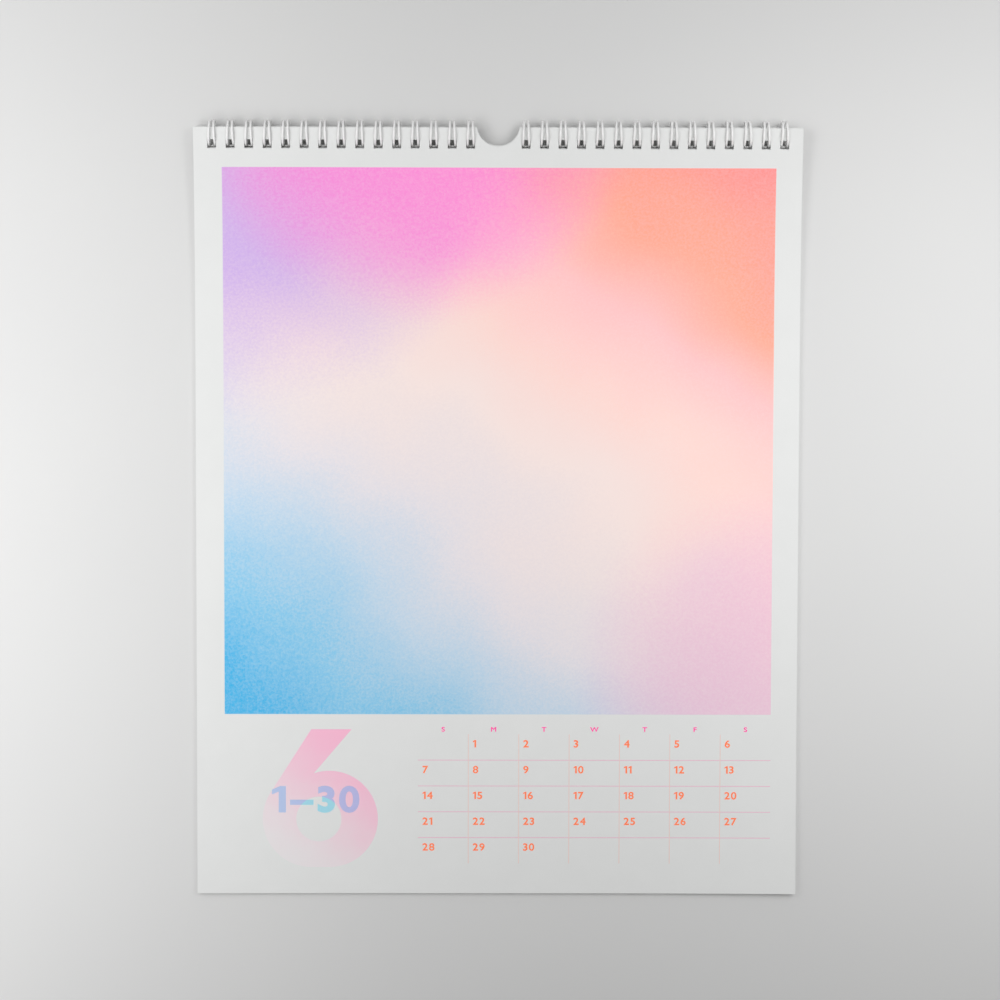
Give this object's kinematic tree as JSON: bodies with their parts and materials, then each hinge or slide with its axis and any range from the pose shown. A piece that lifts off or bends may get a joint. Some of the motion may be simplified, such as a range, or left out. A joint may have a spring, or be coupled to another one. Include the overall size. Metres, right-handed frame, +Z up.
{
  "type": "wall calendar",
  "caption": "Wire-bound wall calendar lying open at one month: white twin-loop rings in two combs, a half-moon notch, a picture leaf over a date grid.",
  "frame": {"origin": "middle of the whole calendar, on the surface that it lies on", "axes": "+X across the sheets to the right of the open page, +Y towards the binding, +Z up out of the open page"},
  "size_m": [0.2794, 0.3589, 0.0122],
  "materials": {
    "binding_wire": "glossy white coating",
    "page_paper": "matt uncoated",
    "picture_ink": "matt grainy print",
    "grid_ink": "matt print",
    "numeral_ink": "matt print",
    "board_card": "matt pale card",
    "cover_card": "matt card"
  },
  "bodies": {
    "bound_stack": {"binding_left": "binding_wire", "binding_right": "binding_wire", "later_pages": "page_paper", "backing_board": "board_card", "front_cover": "cover_card", "earlier_pages": "page_paper"},
    "june_leaf": {"june_page": "page_paper", "picture_print": "picture_ink", "grid_print": "grid_ink", "numeral_print": "numeral_ink"}
  },
  "joints": [
    {"name": "june_page_turn", "type": "hinge", "parent": "bound_stack", "child": "june_leaf", "pos_m": [0, 0.17335, 0.0061], "axis": [-1, 0, 0], "range_deg": [0, 180]}
  ]
}
